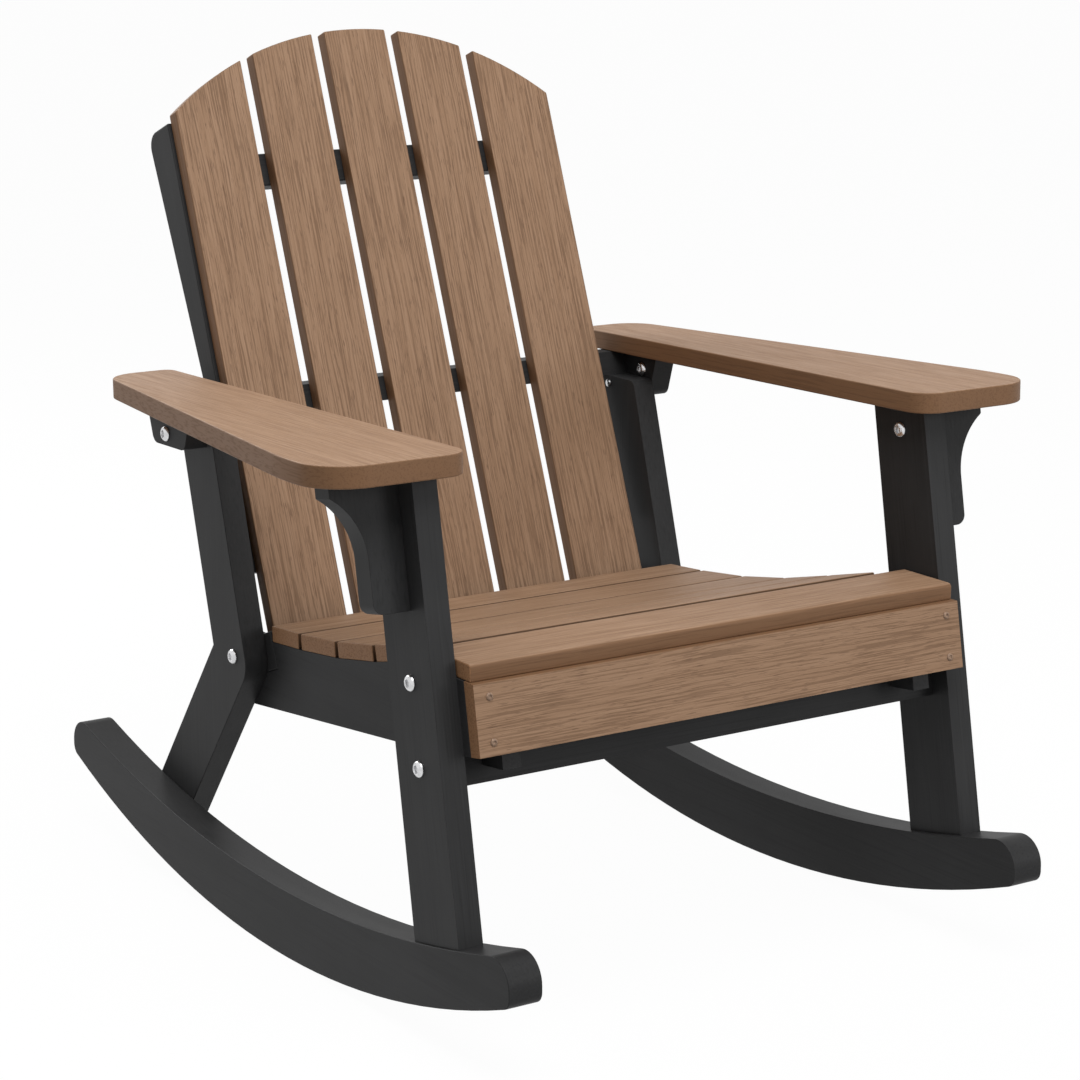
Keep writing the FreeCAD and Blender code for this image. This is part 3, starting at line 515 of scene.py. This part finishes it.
def dark_material(name, settings, along, centre, seed):
    """Charcoal lumber: nearly plain, with faint drawn lines along the board."""
    shop = Shop(bpy.data.materials.new(name))
    face = ACROSS if along[0] == 0.0 else UP
    place = board_place(shop, centre, turned(along, face))
    lines = grain(shop, place, 1.0, seed, **DRAWN_LINES)
    bands = grain(shop, place, 1.0, seed, **DULL_BANDS)
    clouds = grain(shop, place, 1.0, seed, **CLOUDS)
    specks = shop.noise(place, SPECKS, 1.0, 0.5)
    lighter = shaded(settings.colour, 1.55)
    darker = shaded(settings.colour, 0.6)
    colour = shop.blend_colour(clouds.band(0.3, 0.7) * 0.4, settings.colour, lighter)
    colour = shop.blend_colour(lines.band(0.54, 0.7) * 0.35, colour, lighter)
    colour = shop.blend_colour((1.0 - lines.band(0.32, 0.46)) * 0.4, colour, darker)
    roughness = 0.37 + bands * 0.08 + lines * 0.08 + specks * 0.05
    height = lines * 0.55 + specks * 0.45
    return shop.finish(
        colour, roughness, metallic=0.0, height=height, strength=0.14, depth=0.0004, gloss=0.115
    )


def steel_material(settings):
    """Plain stainless steel, a little clouded and finely rough."""
    shop = Shop(bpy.data.materials.new("stainless_steel"))
    place = shop.node("ShaderNodeTexCoord", out="Object")
    fine = shop.noise(place, 1400.0, 2.0, 0.6)
    clouds = shop.noise(place, 160.0, 1.0, 0.5)
    dull = shaded(settings.steel, 0.82)
    colour = shop.blend_colour(clouds.band(0.35, 0.65), dull, settings.steel)
    roughness = 0.16 + fine * 0.14
    return shop.finish(
        colour, roughness, metallic=1.0, height=fine, strength=0.06, depth=0.0002
    )


def screw_material(settings):
    """Brown coated screw heads, rubbed paler in small spots."""
    shop = Shop(bpy.data.materials.new("coated_screw"))
    place = shop.node("ShaderNodeTexCoord", out="Object")
    fine = shop.noise(place, 900.0, 2.0, 0.6)
    rubbed = shaded(settings.coat, 1.8)
    colour = shop.blend_colour(fine.band(0.45, 0.65), settings.coat, rubbed)
    roughness = 0.45 + fine * 0.14
    return shop.finish(
        colour, roughness, metallic=0.12, height=fine, strength=0.1, depth=0.0002
    )


def select_only(context, pieces):
    """Selects these pieces alone, the first of them active."""
    bpy.ops.object.select_all(action="DESELECT")
    for piece in pieces:
        piece.select_set(True)
    context.view_layer.objects.active = pieces[0]


# A face whose normal rises by more than this points up.
POINTS_UP = 0.9


def pick_upper_faces(piece):
    """In edit mode, selects the faces that point up."""
    bpy.ops.mesh.select_mode(type="FACE")
    bpy.ops.mesh.select_all(action="DESELECT")
    mesh = bmesh.from_edit_mesh(piece.data)
    for item in mesh.faces:
        item.select_set(item.normal.z > POINTS_UP)
    bmesh.update_edit_mesh(piece.data)


# The button head's rings, as shares of its height and of its radius.
BUTTON = ((0.24, 1.0), (0.55, 0.93), (0.82, 0.78), (1.0, 0.58))
HEAD_SIDES = 36
SHANK_SHARE = 0.5
PATTERN_SHANK = 0.02
# The socket's floor and the length of its cutter, as shares of the head's height.
SOCKET_SIDES = 6
SOCKET_FLOOR = 0.4
SOCKET_CUTTER = 1.2
RIM_ROUND = 0.06
RIM_ANGLE = math.radians(40.0)


def model_fastener(context, head, rise, socket):
    """A button-headed fastener along Z, its head's seat at Z 0, with a six-sided socket.

    head is the head's radius, rise its height, and socket the socket's share of the radius.
    """
    shank = head * SHANK_SHARE
    bpy.ops.object.select_all(action="DESELECT")
    bpy.ops.mesh.primitive_cylinder_add(
        vertices=HEAD_SIDES,
        radius=shank,
        depth=PATTERN_SHANK,
        location=(0, 0, -PATTERN_SHANK / 2),
    )
    piece = context.object
    piece.name = "pattern"
    bpy.ops.object.transform_apply(location=True, rotation=True, scale=True)
    bpy.ops.object.mode_set(mode="EDIT")
    pick_upper_faces(piece)
    bpy.ops.mesh.extrude_region_move(TRANSFORM_OT_translate={"value": (0, 0, 0)})
    widest = head / shank
    bpy.ops.transform.resize(value=(widest, widest, 1.0))
    before = (0.0, 1.0)
    for after in BUTTON:
        step = (after[0] - before[0]) * rise
        bpy.ops.mesh.extrude_region_move(TRANSFORM_OT_translate={"value": (0, 0, step)})
        narrower = after[1] / before[1]
        bpy.ops.transform.resize(value=(narrower, narrower, 1.0))
        before = after
    bpy.ops.object.mode_set(mode="OBJECT")

    bpy.ops.object.select_all(action="DESELECT")
    depth = rise * SOCKET_CUTTER
    bpy.ops.mesh.primitive_cylinder_add(
        vertices=SOCKET_SIDES,
        radius=head * socket,
        depth=depth,
        location=(0, 0, rise * SOCKET_FLOOR + depth / 2),
    )
    cutter = context.object
    hollow = piece.modifiers.new("socket", "BOOLEAN")
    hollow.operation = "DIFFERENCE"
    hollow.solver = "EXACT"
    hollow.object = cutter
    ease = piece.modifiers.new("ease", "BEVEL")
    ease.width = rise * RIM_ROUND
    ease.segments = 2
    ease.limit_method = "ANGLE"
    ease.angle_limit = RIM_ANGLE
    select_only(context, [piece])
    bpy.ops.object.modifier_apply(modifier=hollow.name)
    bpy.ops.object.modifier_apply(modifier=ease.name)
    bpy.data.objects.remove(cutter)
    bpy.ops.object.shade_smooth_by_angle(angle=SMOOTH_ANGLE)
    return piece


# Points of a CAD node that are nearer than this are one point.
SAME_PLACE = 1e-5


def islands(node):
    """The separate solids of a CAD node, each as its faces' normals and corner points."""
    mesh = bmesh.new()
    mesh.from_mesh(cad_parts[node].data)
    bmesh.ops.remove_doubles(mesh, verts=mesh.verts, dist=SAME_PLACE)
    left = set(mesh.faces)
    found = []
    while left:
        group = [left.pop()]
        for item in group:
            for edge in item.edges:
                for other in edge.link_faces:
                    if other in left:
                        left.remove(other)
                        group.append(other)
        found.append([(item.normal.copy(), [v.co.copy() for v in item.verts]) for item in group])
    mesh.free()
    return found


def seat_of(faces, outwards):
    """A fastener's head seat, axis, head radius, head height and length below the head."""
    axis = max((normal for normal, corners in faces), key=lambda normal: normal.dot(outwards))
    points = [corner for normal, corners in faces for corner in corners]
    crown = max(point.dot(axis) for point in points)
    ring = [point for point in points if crown - point.dot(axis) < SAME_PLACE]
    top = Vector([(min(p[k] for p in ring) + max(p[k] for p in ring)) / 2 for k in range(3)])
    reach = []
    for point in points:
        along = (point - top).dot(axis)
        reach.append(((point - top - axis * along).length, along))
    head = max(radius for radius, along in reach)
    seat = max(along for radius, along in reach if radius > head - SAME_PLACE)
    tail = min(along for radius, along in reach)
    return top + axis * seat, axis, head, -seat, seat - tail


# Corners past this share of a pattern's shank are its end.
SHANK_END = 0.9


def fit(context, pattern, seat, axis, length):
    """A copy of a fastener in its hole, its shank's end moved to the length asked for."""
    piece = pattern.copy()
    piece.data = pattern.data.copy()
    context.collection.objects.link(piece)
    lowest = min(corner.co.z for corner in piece.data.vertices)
    for corner in piece.data.vertices:
        if corner.co.z < lowest * SHANK_END:
            corner.co.z += -length - lowest
    piece.location = seat
    piece.rotation_euler = axis.to_track_quat("Z", "Y").to_euler()
    select_only(context, [piece])
    bpy.ops.object.transform_apply(location=True, rotation=True, scale=True)
    return piece


def gather(context, fitted, name, finish):
    """Joins a group of fasteners, finishes them and lets them ride the chair."""
    select_only(context, fitted)
    bpy.ops.object.join()
    whole = context.object
    whole.name = name
    whole.data.name = name
    whole.data.materials.clear()
    whole.data.materials.append(finish)
    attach(whole, "root")
    return whole


# Corners this close are joined, and faces that turn by less than this are made one, so that
# the round follows a board's real edges.
WELD_REACH = 0.00002
FLAT_ANGLE = math.radians(0.6)
ROUND_STEPS = 3
BROAD_FACE_WEIGHT = 100


def soften(node, width):
    """Eases a board's edges with live modifiers, its own mesh's points untouched."""
    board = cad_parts[node]
    weld = board.modifiers.new("join", "WELD")
    weld.merge_threshold = WELD_REACH
    flat = board.modifiers.new("flat", "DECIMATE")
    flat.decimate_type = "DISSOLVE"
    flat.angle_limit = FLAT_ANGLE
    bevel = board.modifiers.new("ease", "BEVEL")
    bevel.width = width
    bevel.segments = ROUND_STEPS
    bevel.limit_method = "ANGLE"
    bevel.angle_limit = SMOOTH_ANGLE
    bevel.use_clamp_overlap = True
    shading = board.modifiers.new("shading", "WEIGHTED_NORMAL")
    shading.weight = BROAD_FACE_WEIGHT
    for polygon in board.data.polygons:
        polygon.use_smooth = True


def dress(node, material):
    """Gives a board its only material."""
    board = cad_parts[node]
    board.data.materials.clear()
    board.data.materials.append(material)


def middle(node):
    """The middle of a board's box."""
    low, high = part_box(node)
    return (low + high) / 2


# How each group of brown boards differs from the plain grain. The seat's front board keeps
# the plain cut colour on its sawn sides; on the other seat boards the sides are painted darker,
# a painted shade for the shadow in the gaps between them.
SEAT_LOOK = {"lines": 0.5, "pale": 1.5, "sides": 0.45, "ends": 1.7}
SEAT_FRONT_LOOK = {"lines": 0.5, "pale": 1.5, "sides": 1.0, "ends": 1.7}
APRON_LOOK = {"lines": 1.0, "pale": 0.45, "ends": 1.4}
BACK_LOOK = {"lines": 1.15, "pale": 0.75}
ARM_LOOK = {"lines": 0.55, "pale": 1.1, "soft": 0.03}

# The number of each group's first board, and how far a number moves a board's grain.
SEAT_FIRST = 1
APRON_NUMBER = 8
BACK_FIRST = 11
ARM_FIRST = 21
BROWN_STEP = 1.73
DARK_STEP = 2.1


def finish_brown(node, settings, along, face, number, look):
    """Finishes one brown board, its grain unlike that of any other."""
    seed = number * BROWN_STEP
    made = grain_material("grain_" + node, settings, along, face, middle(node), seed, **look)
    soften(node, settings.edge)
    dress(node, made)


class ROCKER_OT_brown_boards(bpy.types.Operator):
    """Finishes the seat, back, arm and apron boards in brown grained lumber"""

    bl_idname = "rocker.brown_boards"
    bl_label = "Brown boards"

    def execute(self, context):
        settings = context.scene.brown_boards
        for number, node in enumerate(SEAT_BOARDS, start=SEAT_FIRST):
            look = SEAT_FRONT_LOOK if node == "seat_front_slat" else SEAT_LOOK
            finish_brown(node, settings, ACROSS, UP, number, look)
        finish_brown(
            "front_apron", settings, ACROSS, out_of(FRONT_LEAN), APRON_NUMBER, APRON_LOOK
        )
        along, face = up_along(BACK_LEAN), out_of(BACK_LEAN)
        for number, node in enumerate(BACK_BOARDS, start=BACK_FIRST):
            finish_brown(node, settings, along, face, number, BACK_LOOK)
        for number, node in enumerate(ARMS, start=ARM_FIRST):
            finish_brown(node, settings, ARM_ALONG, ARM_FACE, number, ARM_LOOK)
        return {"FINISHED"}


class ROCKER_OT_dark_frame(bpy.types.Operator):
    """Finishes the legs, rails, rockers, corbels and other frame boards in charcoal lumber"""

    bl_idname = "rocker.dark_frame"
    bl_label = "Charcoal frame"

    def execute(self, context):
        settings = context.scene.dark_boards
        brown = set(SEAT_BOARDS + BACK_BOARDS + ARMS + ["front_apron"])
        for number, node in enumerate(sorted(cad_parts)):
            if node in brown or node in FASTENERS:
                continue
            along = ACROSS
            if node.startswith(("rocker", "side_rail", "rear_arm")):
                along = REARWARDS
            elif node.startswith("front_leg"):
                along = up_along(FRONT_LEAN)
            elif node.startswith("back_stile"):
                along = up_along(BACK_LEAN)
            elif node.startswith(("rear_leg", "arm_corbel")):
                along = UP
            seed = number * DARK_STEP
            made = dark_material("charcoal_" + node, settings, along, middle(node), seed)
            soften(node, settings.edge)
            dress(node, made)
        return {"FINISHED"}


# Where the bolts through the rear arm brackets stand, in Y and Z, and how far their tips
# reach past the bracket.
INNER_BOLT = (0.180, 0.487)
INNER_BOLT_TIP = 0.0016


class ROCKER_OT_fasteners(bpy.types.Operator):
    """Models the button-headed bolts and screws and fits one in every hole"""

    bl_idname = "rocker.fasteners"
    bl_label = "Bolts and screws"

    def execute(self, context):
        settings = context.scene.rocker_fasteners
        finishes = {
            "steel": steel_material(settings),
            "coated_screw": screw_material(settings),
        }
        patterns = {}
        for node, (name, finish, outwards) in FASTENERS.items():
            fitted = []
            for solid in islands(node):
                side = Vector(outwards)
                first_corner = solid[0][1][0]
                if first_corner.x < 0:
                    side.x = -side.x
                seat, axis, head, rise, length = seat_of(solid, side)
                size = (round(head, 5), round(rise, 5))
                if size not in patterns:
                    patterns[size] = model_fastener(context, head, rise, settings.socket)
                fitted.append(fit(context, patterns[size], seat, axis, length))
            whole = gather(context, fitted, name, finishes[finish])
            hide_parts(node)
            if node == "bracket_screws":
                button = patterns[size]
        inner = []
        low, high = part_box("rear_arm_bracket_right")
        length = high.x - low.x + INNER_BOLT_TIP
        for side in (-1.0, 1.0):
            seat = Vector((side * low.x, *INNER_BOLT))
            inner.append(fit(context, button, seat, Vector((-side, 0.0, 0.0)), length))
        gather(context, inner, "bracket_inner_bolts", finishes["steel"])
        for pattern in patterns.values():
            bpy.data.objects.remove(pattern)
        return {"FINISHED"}


WHITE = (1.0, 1.0, 1.0, 1.0)
FLOOR_GREY = (0.5, 0.5, 0.5, 1.0)
FLOOR_WIDTH = 40.0
# The floor looks evenly pale, yet takes a part of the chair's shadow.
FLOOR_GLOW = 1.03
FLOOR_GLOW_SHARE = 0.94
WORLD_LIGHT = 0.3
WORLD_SHOWN = 1.0
# Each lamp's place and width. All of them point at the middle of the chair.
LAMPS = {
    "key": ((-0.4, -1.4, 3.0), 2.4),
    "fill": ((1.6, -2.85, 1.15), 1.3),
    "rim": ((-0.65, 2.6, 2.1), 1.6),
}
LAMP_AIM = (0.0, 0.0, 0.4)
SENSOR_WIDTH = 36.0


class ROCKER_OT_stage(bpy.types.Operator):
    """Sets the floor, the lamps and the camera"""

    bl_idname = "rocker.stage"
    bl_label = "Stage"

    def execute(self, context):
        settings = context.scene.rocker_stage
        scene = context.scene
        bpy.ops.object.select_all(action="DESELECT")
        bpy.ops.mesh.primitive_plane_add(size=FLOOR_WIDTH, location=(0, 0, 0))
        floor = context.object
        floor.name = "floor"
        shop = Shop(bpy.data.materials.new("pale_floor"))
        glow = shop.seen_by("Is Camera Ray", "Is Glossy Ray") * FLOOR_GLOW_SHARE
        plain = shop.node("ShaderNodeBsdfDiffuse", Color=FLOOR_GREY)
        white = shop.node("ShaderNodeEmission", Color=WHITE, Strength=FLOOR_GLOW)
        shop.show(shop.node("ShaderNodeMixShader", None, glow, plain, white))
        floor.data.materials.append(shop.owner)

        scene.world = bpy.data.worlds.new("studio")
        shop = Shop(scene.world, "ShaderNodeOutputWorld")
        seen = shop.seen_by("Is Camera Ray", "Is Transmission Ray", "Is Glossy Ray")
        light = shop.node("ShaderNodeBackground", Color=WHITE, Strength=WORLD_LIGHT)
        shown = shop.node("ShaderNodeBackground", Color=WHITE, Strength=WORLD_SHOWN)
        shop.show(shop.node("ShaderNodeMixShader", None, seen, light, shown))

        for name, (place, width) in LAMPS.items():
            bpy.ops.object.light_add(type="AREA", location=place)
            lamp = context.object
            lamp.name = name + "_lamp"
            lamp.data.shape = "DISK"
            lamp.data.size = width
            lamp.data.energy = getattr(settings, name + "_power")
            aim = Vector(LAMP_AIM) - Vector(place)
            lamp.rotation_euler = aim.to_track_quat("-Z", "Y").to_euler()

        bpy.ops.object.camera_add(
            location=settings.eye,
            rotation=(math.radians(90.0) - settings.dip, 0.0, -settings.turn),
        )
        camera = context.object
        camera.name = "camera"
        camera.data.sensor_width = SENSOR_WIDTH
        camera.data.lens = settings.lens
        scene.camera = camera
        scene.view_settings.view_transform = "Standard"
        return {"FINISHED"}


class ROCKER_PT_panel(bpy.types.Panel):
    """Lists the chair's settings and steps"""

    bl_label = "Rocking chair"
    bl_space_type = "VIEW_3D"
    bl_region_type = "UI"
    bl_category = "Rocking chair"

    def draw(self, context):
        layout = self.layout
        for group in (
            context.scene.brown_boards,
            context.scene.dark_boards,
            context.scene.rocker_fasteners,
            context.scene.rocker_stage,
        ):
            box = layout.box()
            for key in group.__annotations__:
                box.prop(group, key)
        for step in STEPS:
            layout.operator(step.bl_idname)


GROUPS = (BrownBoardSettings, DarkBoardSettings, FastenerSettings, StageSettings)
STEPS = (
    ROCKER_OT_brown_boards,
    ROCKER_OT_dark_frame,
    ROCKER_OT_fasteners,
    ROCKER_OT_stage,
)


def register():
    for item in (*GROUPS, *STEPS, ROCKER_PT_panel):
        bpy.utils.register_class(item)
    bpy.types.Scene.brown_boards = PointerProperty(type=BrownBoardSettings)
    bpy.types.Scene.dark_boards = PointerProperty(type=DarkBoardSettings)
    bpy.types.Scene.rocker_fasteners = PointerProperty(type=FastenerSettings)
    bpy.types.Scene.rocker_stage = PointerProperty(type=StageSettings)


def unregister():
    del bpy.types.Scene.brown_boards
    del bpy.types.Scene.dark_boards
    del bpy.types.Scene.rocker_fasteners
    del bpy.types.Scene.rocker_stage
    for item in reversed((*GROUPS, *STEPS, ROCKER_PT_panel)):
        bpy.utils.unregister_class(item)


def main():
    register()
    bpy.ops.rocker.brown_boards()
    bpy.ops.rocker.dark_frame()
    bpy.ops.rocker.fasteners()
    bpy.ops.rocker.stage()


if __name__ == "__main__":
    main()
